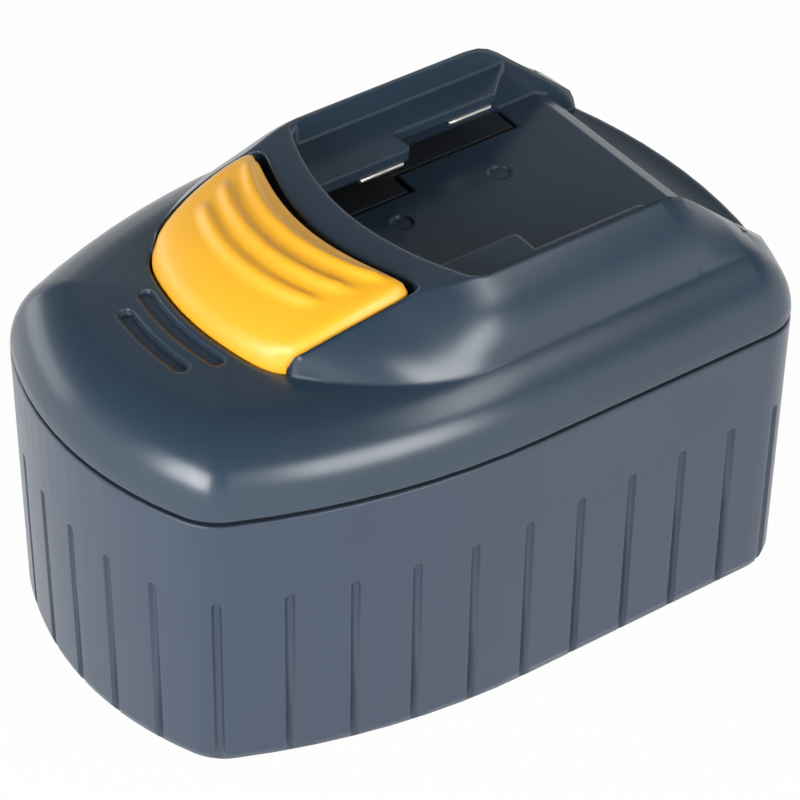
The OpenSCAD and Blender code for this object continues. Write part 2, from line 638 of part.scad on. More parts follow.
// Closed skin of the patch: upper grid, lower grid and the four edges between them
module button_shell() {
    n = len(patch_us) - 1;
    m = len(patch_ws) - 1;
    spots = [for (w = patch_ws) for (u = patch_us) [patch_at(u, w, 0, 0), edge_drop(u, w)]];
    k = len(spots);
    top = [for (q = spots) [q[0].x, q[0].y, dome_at(q[0], 0) + rib_rise(q[0]) - q[1]]];
    low = [for (q = spots) [q[0].x, q[0].y, dome_at(q[0], shell_in) - button_t]];
    cells = [for (j = [0 : m - 1]) for (i = [0 : n - 1]) [j * (n + 1) + i, (j + 1) * (n + 1) + i]];
    rim = concat(
        [for (i = [0 : n - 1]) i],
        [for (j = [0 : m - 1]) j * (n + 1) + n],
        [for (i = [n : -1 : 1]) m * (n + 1) + i],
        [for (j = [m : -1 : 1]) j * (n + 1)]);
    polyhedron(points = concat(top, low), convexity = 8, faces = concat(
        [for (c = cells) each [[c[0], c[1], c[1] + 1], [c[0], c[1] + 1, c[0] + 1]]],
        [for (c = cells) each [[k + c[0], k + c[0] + 1, k + c[1] + 1], [k + c[0], k + c[1] + 1, k + c[1]]]],
        [for (i = [0 : len(rim) - 1]) let (a = rim[i], b = rim[(i + 1) % len(rim)]) each [[k + a, a, b], [k + a, b, k + b]]]));
}

ear_in = 7.8;
ear_out = 11.6;
ear_r = 2.8;
function ear_rise(d) = dome_z(norm([ear_out, button_cy - hinge_y - d])) - button_t / 2 - hinge_z;
arm_t = 2.4;
arm_rear = button_rear - 1.6;
arm_front = arm_rear - arm_t;
arm_low = seam_z + 2.6;
arm_top = arm_low + arm_t;
hook_top = socket_floor + 3.6;
spring_at = [13, button_rear - 5.5];
seat_d = 8;
seat_z = seam_z + 16;
seat_top = dome_at(spring_at, seat_d / 2) - 0.2;
lug_in = 12;
lug_out = 15;
lug_r = 2.4;
lug_room = 0.5;

module release_button() {
    color(amber) difference() {
        union() {
            button_shell();
            mirrored() {
                across(ear_in, ear_out) union() {
                    translate([hinge_y, hinge_z]) polygon([[-1, 0], [ear_r, 0], [ear_r, ear_rise(ear_r)], [-1, ear_rise(-1)]]);
                    translate([hinge_y, hinge_z]) circle(r = ear_r);
                }
                translate([spring_at.x, spring_at.y, seat_z]) cylinder(d = seat_d, h = seat_top - seat_z);
            }
            across(-latch_half, latch_half) polygon([
                [arm_front, under_top], [arm_front, arm_low], [latch_rear, arm_low], [latch_rear, socket_floor + 0.2],
                [latch_front + 1.4, hook_top], [latch_front, hook_top], [latch_front, arm_top], [arm_rear, arm_top],
                [arm_rear, under_top]]);
        }
        mirrored() across(lug_in - lug_room, lug_out + lug_room) translate([hinge_y, hinge_z]) circle(r = lug_r + lug_room);
        translate([-lug_out, hinge_y, hinge_z]) rotate([0, 90, 0]) cylinder(d = pin_d + 2 * pin_play, h = 2 * lug_out);
    }
}

// Hinge pin
module hinge_pin() {
    color(steel) translate([-lug_out, hinge_y, hinge_z]) rotate([0, 90, 0]) cylinder(d = pin_d, h = 2 * lug_out);
}

// Frame under the button: hinge lugs, spring seats and screw holes round a slot for the latch arm
stub_d = 3.4;
stub_h = 3;
slot_half = latch_half + 1.5;
frame_half = 21;
frame_back = button_rear + 4;
module latch_frame() {
    color("#20262b") difference() {
        union() {
            span([-frame_half, button_front + 0.8, frame_low], [frame_half, frame_back, frame_top]);
            span([-frame_front.x - 3.6, frame_front.y - 3.6, frame_low], [frame_front.x + 3.6, button_front + 2, frame_top]);
            span([-frame_rear.x - 3.5, frame_rear.y - 3.5, frame_low], [frame_rear.x + 3.5, frame_back, frame_top]);
            mirrored() {
                across(lug_in, lug_out) union() {
                    translate([hinge_y - lug_r, frame_low + eps]) square([2 * lug_r, hinge_z - frame_low]);
                    translate([hinge_y, hinge_z]) circle(r = lug_r);
                }
                translate([spring_at.x, spring_at.y, frame_low + eps]) cylinder(d = stub_d, h = frame_t + stub_h);
            }
        }
        span([-slot_half, arm_front - 4, frame_low - 1], [slot_half, frame_back + 1, frame_top + 1]);
        translate([-far / 2, hinge_y, hinge_z]) rotate([0, 90, 0]) cylinder(d = pin_d, h = far);
        for (p = frame_screw_at)
            translate([p.x, p.y, frame_low - 1]) cylinder(d = shank_bore_d, h = frame_t + 2);
    }
}

// Return spring: a round wire wound from the frame up to its seat under the button
spring_low = frame_top + wire_d / 2;
spring_high = seat_z - wire_d / 2;
coil_rings = 8 * (coil_turns + 2);
wire_sides = 6;
coil_pitch = (spring_high - spring_low - 2 * wire_d) / coil_turns;
echo(spring_self_gap = coil_pitch - wire_d);
function coil_z(t) = t < 1 ? spring_low + wire_d * t
    : t < coil_turns + 1 ? spring_low + wire_d + coil_pitch * (t - 1)
    : spring_low + wire_d + coil_pitch * coil_turns + wire_d * (t - coil_turns - 1);
function coil_ring(i) = let (t = i / 8, a = 360 * t)
    [for (k = [0 : wire_sides - 1]) let (b = -360 * k / wire_sides, r = coil_d / 2 + wire_d / 2 * cos(b))
        [r * cos(a), r * sin(a), coil_z(t) + wire_d / 2 * sin(b)]];
module spring(s) {
    color(steel) translate([s * spring_at.x, spring_at.y, 0]) loft([for (i = [0 : coil_rings]) coil_ring(i)]);
}
module button_spring_left() {
    spring(-1);
}
module button_spring_right() {
    spring(1);
}

// Cells: sleeve, crimped shoulder and raised top contact
cell_names = ["cell_1", "cell_2", "cell_3", "cell_4", "cell_5", "cell_6", "cell_7", "cell_8", "cell_9", "cell_10", "cell_11", "cell_12"];
cap_d = 9;
cap_h = 0.8;
crimp = 1;
module cell(i) {
    p = cell_at(cell_list[i][0], cell_list[i][1]);
    r = cell_d / 2;
    color("#7c8a94") translate([p.x, p.y, cell_low]) rotate_extrude() polygon([
        [0, 0], [r - crimp / 2, 0], [r, crimp / 2], [r, cell_h - cap_h - crimp], [r - crimp, cell_h - cap_h],
        [cap_d / 2, cell_h - cap_h], [cap_d / 2, cell_h], [0, cell_h]]);
}

// Series path: cells 1 to 12 run back and forth through the columns
path = [[0, 3], [0, 2], [0, 1], [0, 0], [1, 0], [1, 1], [1, 2], [1, 3], [2, 3], [2, 2], [2, 1], [2, 0]];
module link(i, z) {
    a = cell_at(path[i][0], path[i][1]);
    b = cell_at(path[i + 1][0], path[i + 1][1]);
    m = [min(a.x, b.x), min(a.y, b.y)];
    n = [max(a.x, b.x), max(a.y, b.y)];
    color(nickel) span([m.x - link_w / 2, m.y - link_w / 2, z], [n.x + link_w / 2, n.y + link_w / 2, z + link_t]);
}
link_low_names = ["link_low_1", "link_low_2", "link_low_3", "link_low_4", "link_low_5", "link_low_6"];
link_top_names = ["link_top_1", "link_top_2", "link_top_3", "link_top_4", "link_top_5"];

// Sheets under and over the cells, open where bosses and straps pass
sheet_in = wall + 2.4;
sheet_hole_d = boss_d + 0.6;
strap_w = 5.4;
strap_room = 1;
module sheet(z, t) {
    translate([0, 0, z]) linear_extrude(height = t) difference() {
        polygon(inset_2d(sheet_in));
        for (p = case_screw_at) translate([p.x, p.y]) circle(d = sheet_hole_d);
        children();
    }
}
module bottom_pad() {
    color("#3a3a3c") sheet(floor_t, pad_t);
}
plus_at = cell_at(0, 3);
minus_at = cell_at(2, 0);
module top_card() {
    color("#c9b48a") sheet(card_low, card_t) {
        for (p = [plus_at, minus_at])
            translate([p.x - strap_w / 2 - strap_room, p.y - 2 - strap_room]) square([strap_w + 2 * strap_room, strap_w + 2 * strap_room]);
    }
}

// Foam block that keeps the cells off the bowed front
spacer_w = 25;
spacer_room = 0.6;
module front_spacer() {
    front_in = half_l - wall - drawn_in(floor_t) - spacer_room;
    color("#4a4a4d") translate([0, 0, floor_t + pad_t]) linear_extrude(height = cell_h * 0.6) intersection() {
        translate([-spacer_w / 2, -front_in]) square([spacer_w, front_in + cell_at(1, 3).y - cell_d / 2]);
        translate([0, front_c.y]) circle(r = front_in + front_c.y, $fn = 180);
    }
}

// Contact blades: a flange under the rail, through the wall, and a leg inside it down to the terminal block
blade_low = seam_z + 2.2;
module blade(y, tip) {
    color(steel) {
        span([tip, y, rail_low - blade_t], [leg_x, y + blade_w, rail_low]);
        span([leg_x - blade_t, y, blade_low], [leg_x, y + blade_w, rail_low]);
    }
}
tip_near = rail_near + 0.2;
tip_far = rail_far + 0.2;
module blade_front_left() {
    mirror([1, 0, 0]) blade(blade_front_y, tip_near);
}
module blade_front_right() {
    blade(blade_front_y, tip_near);
}
module blade_rear_left() {
    mirror([1, 0, 0]) blade(blade_rear_y, tip_far);
}
module blade_rear_right() {
    blade(blade_rear_y, tip_far);
}

// Terminal blocks under the windows
block_in = rail_near - 1.5;
block_mid = rail_far - 1.5;
block_front = blade_front_y - 3.1;
block_back = window_end_y - 2;
block_base = blade_low + 1.6;
block_out = leg_x + 1;
terminal_top = socket_floor - 0.3;
module terminal_block() {
    color("#191d21") difference() {
        union() {
            span([block_in, block_front, block_base], [block_out, window_step_y, tray_low]);
            span([block_mid, block_front, block_base], [block_out, block_back, tray_low]);
            translate([0, 0, block_base]) linear_extrude(height = terminal_top - block_base) window_plan(terminal_gap);
        }
        for (y = [blade_front_y, blade_rear_y])
            span([leg_x - blade_t, y, 0], [leg_x, y + blade_w, far]);
    }
}
module terminal_block_left() {
    mirror([1, 0, 0]) terminal_block();
}
module terminal_block_right() {
    terminal_block();
}

// Flat straps from the end cells, over the card and along the case, up to the front blades
strap_t = 0.4;
strap_y = blade_front_y + blade_w / 2 - strap_w / 2;
strap_z = card_top + 0.5;
strap_in = leg_x + 0.2;
strap_out = strap_in + strap_w;
module lead(p) {
    x0 = abs(p.x) - strap_w / 2;
    y0 = p.y - 2;
    z1 = strap_z + strap_t;
    color(nickel) mirror([p.x < 0 ? 1 : 0, 0, 0]) {
        span([x0, y0, cell_top], [x0 + strap_w, y0 + strap_w, cell_top + strap_t]);
        span([x0, y0, cell_top], [x0 + strap_w, y0 + strap_t, z1]);
        span([x0, y0, strap_z], [strap_out, y0 + strap_w, z1]);
        span([strap_in, min(y0, strap_y), strap_z], [strap_out, max(y0, strap_y) + strap_w, z1]);
        span([leg_x, strap_y, strap_z], [leg_x + strap_t, strap_y + strap_w, blade_low + 1.2]);
    }
}
module positive_lead() {
    lead(plus_at);
}
module negative_lead() {
    lead(minus_at);
}

// Thermal cut-out and thermistor lie on the card
sense_at = [0, blade_rear_y - 13.2];
cutout_size = [12, 8, 1.6];
cutout_y = cell_at(1, 3).y - cell_d / 2 + 3;
module thermal_cutout() {
    color("#8d8f94") translate([-cutout_size.x / 2, cutout_y, card_top]) cube(cutout_size);
}
bead_d = 2.4;
module thermistor() {
    color("#26221f") translate([sense_at.x, sense_at.y, card_top + bead_d / 2]) sphere(d = bead_d);
}

// Sensor leads from the bead to a pin on each rear blade
wire_core = 1;
wire_pin = 1.4;
module sensor_lead(s) {
    y = blade_rear_y + blade_w / 2;
    z = card_top + wire_core / 2 + 0.05;
    b = [s * (leg_x - blade_t - wire_pin / 2), y];
    way = b - sense_at;
    start = bead_d / 2 - 0.1;
    color(s < 0 ? "#1f1f22" : "#8c1f1f") {
        translate([sense_at.x, sense_at.y, z]) rotate([0, 0, atan2(way.y, way.x)]) translate([start, 0, 0]) rotate([0, 90, 0])
            cylinder(d = wire_core, h = norm(way) - start, $fn = 24);
        translate([b.x, b.y, card_top]) cylinder(d = wire_pin, h = blade_low + 1.2 - card_top, $fn = 24);
    }
}
module sensor_lead_left() {
    sensor_lead(-1);
}
module sensor_lead_right() {
    sensor_lead(1);
}

// Screws: round heads with a cross recess, identical ones share a node
module screw(l) {
    difference() {
        union() {
            translate([0, 0, -head_h]) cylinder(d = head_d, h = head_h);
            cylinder(d = screw_d, h = l);
        }
        for (a = [0, 90])
            rotate([0, 0, a]) translate([-head_d / 3, -0.45, -head_h - eps]) cube([head_d * 2 / 3, 0.9, head_h / 2]);
    }
}
case_screw_l = tub_top - head_seat + 5.6;
frame_screw_l = frame_t + 5.6;
module case_screws() {
    color(steel) for (p = case_screw_at) translate([p.x, p.y, head_seat]) screw(case_screw_l);
}
module frame_screws() {
    color(steel) for (p = frame_screw_at) translate([p.x, p.y, frame_low]) screw(frame_screw_l);
}

lower_case();
upper_cover();
release_button();
hinge_pin();
latch_frame();
button_spring_left();
button_spring_right();
for (i = [0 : 11])
    cell(i);
for (i = [0 : 5])
    link(2 * i, cell_low - link_t);
for (i = [0 : 4])
    link(2 * i + 1, cell_top);
bottom_pad();
top_card();
front_spacer();
blade_front_left();
blade_front_right();
blade_rear_left();
blade_rear_right();
terminal_block_left();
terminal_block_right();
positive_lead();
negative_lead();
thermal_cutout();
thermistor();
sensor_lead_left();
sensor_lead_right();
case_screws();
frame_screws();
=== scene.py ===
import json
import math

import bpy
from mathutils import Matrix, Vector


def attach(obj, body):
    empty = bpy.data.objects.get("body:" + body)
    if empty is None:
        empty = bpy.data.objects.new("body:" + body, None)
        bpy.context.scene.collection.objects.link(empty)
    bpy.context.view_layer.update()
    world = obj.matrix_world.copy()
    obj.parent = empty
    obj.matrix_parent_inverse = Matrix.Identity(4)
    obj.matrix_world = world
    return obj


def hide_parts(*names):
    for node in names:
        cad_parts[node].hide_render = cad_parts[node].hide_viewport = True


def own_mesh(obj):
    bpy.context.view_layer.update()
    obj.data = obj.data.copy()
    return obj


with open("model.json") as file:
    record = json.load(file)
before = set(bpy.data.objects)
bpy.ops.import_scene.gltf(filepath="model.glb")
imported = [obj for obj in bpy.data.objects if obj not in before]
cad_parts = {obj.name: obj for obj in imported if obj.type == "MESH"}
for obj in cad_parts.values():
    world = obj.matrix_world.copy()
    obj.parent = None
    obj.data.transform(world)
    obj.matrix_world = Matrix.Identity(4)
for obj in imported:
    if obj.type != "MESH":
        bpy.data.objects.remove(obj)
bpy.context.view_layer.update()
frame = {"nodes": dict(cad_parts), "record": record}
nodes = frame["nodes"]
print("frame loaded:", len(nodes), "nodes")


# a value in a shader tree: plain arithmetic on it adds Math nodes
class Val:
    def __init__(self, tree, socket):
        self.tree, self.socket = tree, socket

    def math(self, operation, *others):
        made = self.tree.nodes.new("ShaderNodeMath")
        made.operation = operation
        for slot, value in zip(made.inputs, (self, *others)):
            feed(self.tree, slot, value)
        return Val(self.tree, made.outputs[0])

    def __add__(self, other): return self.math("ADD", other)
    def __sub__(self, other): return self.math("SUBTRACT", other)
    def __mul__(self, other): return self.math("MULTIPLY", other)
    def __truediv__(self, other): return self.math("DIVIDE", other)
    def __radd__(self, other): return self.math("ADD", other)
    def __rmul__(self, other): return self.math("MULTIPLY", other)
    def __rsub__(self, other): return (self * -1.0).math("ADD", other)
    def clamp(self): return self.math("MINIMUM", 1.0).math("MAXIMUM", 0.0)
    def size(self): return self.math("ABSOLUTE")


def feed(tree, slot, value):
    if isinstance(value, Val):
        tree.links.new(value.socket, slot)
    elif isinstance(value, (tuple, list)) and slot.type == "RGBA" and len(value) == 3:
        slot.default_value = (*value, 1.0)
    else:
        slot.default_value = value


def scaled(shade, by, lift=0.0):
    return tuple(min(1.0, c * by + lift) for c in shade)


# a shader tree; a socket is given by its name, or by _ and its number
class Shades:
    def __init__(self, tree):
        self.tree = tree
        tree.nodes.clear()

    def make(self, kind, settings=None, **sockets):
        made = self.tree.nodes.new("ShaderNode" + kind)
        for key, value in (settings or {}).items():
            if key == "stops":
                ramp = made.color_ramp.elements
                while len(ramp) < len(value):
                    ramp.new(0.5)
                for stop, (place, shade) in zip(ramp, value):
                    stop.position = place
                    stop.color = (*shade, 1.0) if isinstance(shade, tuple) else (shade, shade, shade, 1.0)
            else:
                setattr(made, key, value)
        for key, value in sockets.items():
            slot = made.inputs[int(key[1:])] if key[0] == "_" else made.inputs[key.replace("_", " ")]
            feed(self.tree, slot, value)
        return made

    def node(self, kind, settings=None, output=0, **sockets):
        return Val(self.tree, self.make(kind, settings, **sockets).outputs[output])


# one finish: a principled shader whose varying inputs are written as expressions
class Finish(Shades):
    def __init__(self, name):
        self.mat = bpy.data.materials.new(name)
        self.mat.use_nodes = True
        super().__init__(self.mat.node_tree)
        self.skin = self.make("BsdfPrincipled")
        self.surface = Val(self.tree, self.skin.outputs[0])
        self.out = self.make("OutputMaterial", Surface=self.surface)

    def place(self):
        return self.node("TexCoord", output="Object")

    def height(self):
        return self.node("SeparateXYZ", output="Z", Vector=self.place())

    def noise(self, scale, detail=3.0, roughness=0.5):
        return self.node("TexNoise", output="Fac", Vector=self.place(), Scale=scale, Detail=detail, Roughness=roughness)

    def ramp(self, value, *stops):
        return self.node("ValToRGB", {"stops": stops}, Fac=value)

    def mix(self, factor, a, b):
        return self.node("Mix", {"data_type": "RGBA"}, output=2, _0=factor, _6=a, _7=b)

    def bump(self, height, strength, distance, normal=None):
        sockets = {"Height": height, "Strength": strength, "Distance": distance}
        if normal is not None:
            sockets["Normal"] = normal
        return self.node("Bump", **sockets)

    # soft edge: the normal of a rounded edge, and how far it turns from the face
    def edge(self, radius):
        soft = self.node("Bevel", {"samples": 6}, Radius=radius)
        flat = self.node("NewGeometry", output="Normal")
        facing = self.node("VectorMath", {"operation": "DOT_PRODUCT"}, output="Value", _0=soft, _1=flat)
        return soft, ((1 - facing) * 2.2).clamp()

    def set(self, **values):
        for key, value in values.items():
            feed(self.tree, self.skin.inputs[key.replace("_", " ")], value)


# moulded plastics: shade, rubbed shade at edges, gloss, fine grain, softness of edges in metres, and whether the
# parting line gets a painted shadow
moulding = {"cloud": 22.0, "dark": 0.93, "light": 1.08, "flow": 60.0, "rub": 0.55, "bump": 0.05, "grainDepth": 0.00006, "ior": 1.6}
# painted shadow in the parting line: its height, half width, fade, near-black colour and added roughness
paintedSeamShadow = {"z": 0.05, "half": 0.00048, "fade": 0.0002, "shade": (0.004, 0.005, 0.007), "dull": 0.5}
plastics = {
    "tub_plastic": {"name": "tubPlastic", "shade": (0.0275, 0.0455, 0.078), "worn": (0.075, 0.095, 0.125),
                    "rough": 0.32, "grain": 5200.0, "edge": 0.0005, "seamShadowPainted": True},
    "cover_plastic": {"name": "coverPlastic", "shade": (0.026, 0.0455, 0.0705), "worn": (0.06, 0.08, 0.11),
                      "rough": 0.24, "grain": 5200.0, "edge": 0.0009, "seamShadowPainted": True},
    "amber_plastic": {"name": "amberPlastic", "shade": (1.0, 0.485, 0.022), "worn": (1.0, 0.56, 0.06),
                      "rough": 0.38, "grain": 4200.0, "edge": 0.0006, "seamShadowPainted": False},
    "dark_plastic": {"name": "darkPlastic", "shade": (0.012, 0.014, 0.017), "worn": (0.03, 0.03, 0.035),
                     "rough": 0.5, "grain": 4200.0, "edge": 0.0003, "seamShadowPainted": False},
}


def mouldedPlastic(spec):
    f = Finish(spec["name"])
    soft, rub = f.edge(spec["edge"])
    cloud = f.ramp(f.noise(moulding["cloud"], 4.0), (0.35, 0.0), (0.68, 1.0))
    speck = f.noise(spec["grain"], 2.0)
    flow = f.noise(moulding["flow"], 5.0, 0.6)
    dark, light = (tuple(c * moulding[k] for c in spec["shade"]) for k in ("dark", "light"))
    base = f.mix(rub * flow * moulding["rub"], f.mix(cloud, dark, light), spec["worn"])
    gloss = spec["rough"] + (flow - 0.5) * 0.1 + (speck - 0.5) * 0.06
    if spec["seamShadowPainted"]:  # painted shadow: near black and dull in the parting line's gap, where shade falls
        # painted shade: a band around the parting line's height is mixed to near black, in place of the shadow in the
        # gap
        seamShadowMask = ((paintedSeamShadow["half"] - (f.height() - paintedSeamShadow["z"]).size()) / paintedSeamShadow["fade"]).clamp()
        base = f.mix(seamShadowMask, base, paintedSeamShadow["shade"])
        gloss = gloss + seamShadowMask * paintedSeamShadow["dull"]
    f.set(Base_Color=base, Roughness=gloss.clamp(), IOR=moulding["ior"],
          Normal=f.bump(speck, moulding["bump"], moulding["grainDepth"], soft))
    return f.mat


# metals, drawn along Y
drawn = {"edge": 0.0002, "stretch": (1.0, 24.0, 1.0), "dull": 90.0, "dark": 0.82, "bright": 1.2, "bump": 0.08, "depth": 0.00005}
metals = {
    "steel": {"name": "zincSteel", "shade": (0.62, 0.63, 0.65), "rough": 0.32, "scratch": 900.0},
    "nickel": {"name": "nickelStrip", "shade": (0.68, 0.64, 0.57), "rough": 0.3, "scratch": 700.0},
    "contact_metal": {"name": "tinnedContact", "shade": (0.86, 0.84, 0.78), "rough": 0.34, "scratch": 800.0},
    "cutout_can": {"name": "cutoutCan", "shade": (0.55, 0.55, 0.57), "rough": 0.35, "scratch": 800.0},
}


def brushedMetal(spec):
    f = Finish(spec["name"])
    soft, rub = f.edge(drawn["edge"])
    stretched = f.node("Mapping", Vector=f.place(), Scale=drawn["stretch"])
    lines = f.node("TexNoise", output="Fac", Vector=stretched, Scale=spec["scratch"], Detail=4.0)
    dull = f.noise(drawn["dull"], 4.0)
    base = f.mix(dull, scaled(spec["shade"], drawn["dark"]), spec["shade"])
    f.set(Base_Color=f.mix(rub * 0.5, base, scaled(spec["shade"], drawn["bright"])), Metallic=1.0,
          Roughness=(spec["rough"] + (lines - 0.5) * 0.25 + (dull - 0.5) * 0.1).clamp(),
          Normal=f.bump(lines, drawn["bump"], drawn["depth"], soft))
    return f.mat


# cells: a shrunk sleeve up to the bare end
sleeve = {"top": 0.04545, "fade": 4000.0, "low": (0.05, 0.1, 0.14), "high": (0.08, 0.14, 0.19), "bare": (0.62, 0.61, 0.58), "crease": 260.0}


def cellSleeve():
    f = Finish("cellSleeve")
    bare = f.ramp((f.height() - sleeve["top"]) * sleeve["fade"], (0.0, 0.0), (1.0, 1.0))
    crease = f.noise(sleeve["crease"], 4.0)
    f.set(Base_Color=f.mix(bare, f.mix(crease, sleeve["low"], sleeve["high"]), sleeve["bare"]), Metallic=bare,
          Roughness=(0.3 + crease * 0.2).clamp(), Normal=f.bump(crease, 0.12, 0.0001))
    return f.mat


# foam and card: two shades, pore scale, gloss and pore depth
sheets = {
    "foam": {"name": "packingFoam", "low": (0.03, 0.03, 0.033), "high": (0.055, 0.055, 0.06),
             "pores": 1500.0, "rough": 0.86, "depth": 0.0003},
    "card": {"name": "fibreCard", "low": (0.4, 0.32, 0.2), "high": (0.52, 0.43, 0.28),
             "pores": 2200.0, "rough": 0.78, "depth": 0.00008},
}


def softSheet(spec):
    f = Finish(spec["name"])
    pores = f.node("TexVoronoi", output="Distance", Vector=f.place(), Scale=spec["pores"])
    tone = f.ramp(f.noise(70.0, 5.0), (0.3, 0.0), (0.7, 1.0))
    f.set(Base_Color=f.mix(tone, spec["low"], spec["high"]), Roughness=(spec["rough"] + (pores - 0.4) * 0.1).clamp(),
          Normal=f.bump(pores, 0.3, spec["depth"]))
    return f.mat


# insulated wires and the sensor's bead
wires = {
    "sensor_bead": {"name": "sensorBead", "shade": (0.02, 0.017, 0.014)},
    "wire_dark": {"name": "wireDark", "shade": (0.012, 0.012, 0.014)},
    "wire_red": {"name": "wireRed", "shade": (0.36, 0.02, 0.02)},
}


def wireSkin(spec):
    f = Finish(spec["name"])
    scuff = f.noise(420.0, 4.0)
    f.set(Base_Color=f.mix(scuff, spec["shade"], scaled(spec["shade"], 1.35, 0.01)),
          Roughness=(0.38 + (scuff - 0.5) * 0.2).clamp(), Normal=f.bump(scuff, 0.08, 0.00004))
    return f.mat


finishes = {"cell_sleeve": cellSleeve()}
for specs, build in ((plastics, mouldedPlastic), (metals, brushedMetal), (sheets, softSheet), (wires, wireSkin)):
    for slotName, spec in specs.items():
        finishes[slotName] = build(spec)
for part in frame["record"]["subparts"]:
    piece = nodes[part["node"]]
    piece.data.materials.clear()
    piece.data.materials.append(finishes[part["material_slot"]])
print("finishes:", len(finishes))


def dress(piece, node, body, slotName):
    piece.data.materials.clear()
    piece.data.materials.append(finishes[slotName])
    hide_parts(node)
    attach(piece, body)


# an object with its own copy of a mesh, alone selected and open in edit mode
def openCopy(name, mesh):
    bpy.ops.object.select_all(action="DESELECT")
    piece = bpy.data.objects.new(name, mesh.copy())
    bpy.context.scene.collection.objects.link(piece)
    piece.select_set(True)
    bpy.context.view_layer.objects.active = piece
    bpy.ops.object.mode_set(mode="EDIT")
    bpy.ops.mesh.select_all(action="SELECT")
    return piece


# smooth skins: copies of the CAD meshes, merged and shaded smooth up to their sharp edges (degrees)
skins = {
    "tubSkin": {"node": "lower_case", "body": "pack", "slot": "tub_plastic", "sharp": 32.0},
    "coverSkin": {"node": "upper_cover", "body": "pack", "slot": "cover_plastic", "sharp": 12.0},
    "buttonSkin": {"node": "release_button", "body": "button", "slot": "amber_plastic", "sharp": 40.0},
    "springLeft": {"node": "button_spring_left", "body": "pack", "slot": "steel", "sharp": 60.0},
    "springRight": {"node": "button_spring_right", "body": "pack", "slot": "steel", "sharp": 60.0},
}
merging = {"distance": 0.000002, "flat": 0.3}


def smoothSkin(name, spec):
    piece = openCopy(name, nodes[spec["node"]].data)
    bpy.ops.mesh.remove_doubles(threshold=merging["distance"])
    bpy.ops.mesh.dissolve_limited(angle_limit=math.radians(merging["flat"]))
    bpy.ops.object.mode_set(mode="OBJECT")
    bpy.ops.object.shade_smooth_by_angle(angle=math.radians(spec["sharp"]))
    evened = piece.modifiers.new("evened", "WEIGHTED_NORMAL")
    evened.keep_sharp = True
    bpy.ops.object.modifier_apply(modifier="evened")
    dress(piece, spec["node"], spec["body"], spec["slot"])
    return piece


for name, spec in skins.items():
    made = smoothSkin(name, spec)
    if name.startswith("spring"):  # gets a mesh of its own
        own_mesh(made)
    print("skin:", name, len(made.data.polygons), "faces")

# contact blades: a flange through the wall with a rolled tip under the rail, and a leg down to the terminal block
blade = {"tip": 0.01355, "farTip": 0.01855, "out": 0.0286, "y": 0.0041, "farY": 0.02515, "wide": 0.0086, "top": 0.065,
         "thick": 0.0008, "low": 0.0522, "round": 0.00036, "segments": 4, "sharp": 35.0}


# in edit mode: selects the faces whose middle and normal pass the test
def pick(piece, test):
    bpy.ops.mesh.select_mode(type="FACE")
    bpy.ops.mesh.select_all(action="DESELECT")
    bpy.ops.object.mode_set(mode="OBJECT")
    for face in piece.data.polygons:
        face.select = test(face.center, face.normal)
    bpy.ops.object.mode_set(mode="EDIT")


def contactBlade(name):
    bpy.ops.object.select_all(action="DESELECT")
    thick = blade["thick"]
    flange = blade["out"] - thick - blade["tip"]
    bpy.ops.mesh.primitive_cube_add(size=1.0)
    piece = bpy.context.object
    piece.name = name
    bpy.ops.object.mode_set(mode="EDIT")
    bpy.ops.mesh.select_all(action="SELECT")
    bpy.ops.transform.resize(value=(flange, blade["wide"], thick))
    middle = (blade["tip"] + flange / 2, blade["y"] + blade["wide"] / 2, blade["top"] - thick / 2)
    bpy.ops.transform.translate(value=middle)
    pick(piece, lambda at, n: n.x > 0.9)
    bpy.ops.mesh.extrude_region_move(TRANSFORM_OT_translate={"value": (thick, 0.0, 0.0)})
    pick(piece, lambda at, n: n.z < -0.9 and at.x > blade["out"] - thick)  # the leg
    bpy.ops.mesh.extrude_region_move(TRANSFORM_OT_translate={"value": (0.0, 0.0, blade["low"] - blade["top"] + thick)})
    pick(piece, lambda at, n: n.x < -0.9 and at.x < blade["tip"] + 0.0001)  # the tip, rolled round
    bpy.ops.mesh.bevel(offset=blade["round"], segments=blade["segments"], affect="EDGES")
    bpy.ops.object.mode_set(mode="OBJECT")
    bpy.ops.object.shade_smooth_by_angle(angle=math.radians(blade["sharp"]))
    return piece


# a far copy has its tip moved out and stands further back, a left one is mirrored
def bladeCopy(source, name, far, left):
    piece = openCopy(name, source.data)
    if far:
        pick(piece, lambda at, n: at.x < blade["tip"] + 2 * blade["round"] and abs(n.z) < 0.99)
        bpy.ops.transform.translate(value=(blade["farTip"] - blade["tip"], 0.0, 0.0))
        bpy.ops.mesh.select_all(action="SELECT")
        bpy.ops.transform.translate(value=(0.0, blade["farY"] - blade["y"], 0.0))
    if left:
        bpy.ops.transform.resize(value=(-1.0, 1.0, 1.0), center_override=(0.0, 0.0, 0.0))
        bpy.ops.mesh.normals_make_consistent(inside=False)
    bpy.ops.object.mode_set(mode="OBJECT")
    return piece


firstBlade = contactBlade("bladeFrontRight")
dress(firstBlade, "blade_front_right", "pack", "contact_metal")
for name, node, far, left in (("bladeFrontLeft", "blade_front_left", False, True),
                              ("bladeRearRight", "blade_rear_right", True, False),
                              ("bladeRearLeft", "blade_rear_left", True, True)):
    dress(bladeCopy(firstBlade, name, far, left), node, "pack", "contact_metal")
print("contact blades: 4")

# floor: white to the camera and in reflections, with some glow of its own, and the rest takes the pack's shadow
stage = {"size": 6.0, "floorShade": (0.86, 0.86, 0.86), "rough": 0.9, "show": 0.97, "glow": 0.4}


